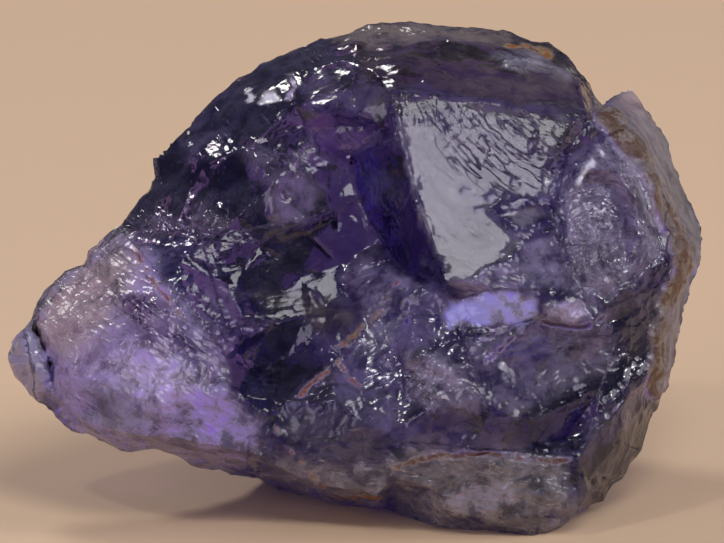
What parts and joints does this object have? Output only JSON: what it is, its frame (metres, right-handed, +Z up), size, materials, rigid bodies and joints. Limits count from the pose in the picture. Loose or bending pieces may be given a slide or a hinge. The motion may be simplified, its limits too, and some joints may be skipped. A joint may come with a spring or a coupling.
{
  "type": "iolite crystal",
  "caption": "Rough piece of clear violet-blue iolite with broken glassy faces, resting on one flat fracture face",
  "frame": {"origin": "under the middle of the stone's bounding box, on the surface that it rests on", "axes": "+X along the stone's length, from its narrow nose to its blunt end; -Y towards its front, the broad broken side; +Z up"},
  "size_m": [0.0278, 0.0172, 0.0176],
  "materials": {
    "iolite": "clear violet-blue crystal, glassy on fresh fractures, brown and iron-stained in places"
  },
  "bodies": {
    "root": {"iolite_crystal": "iolite"}
  },
  "joints": []
}
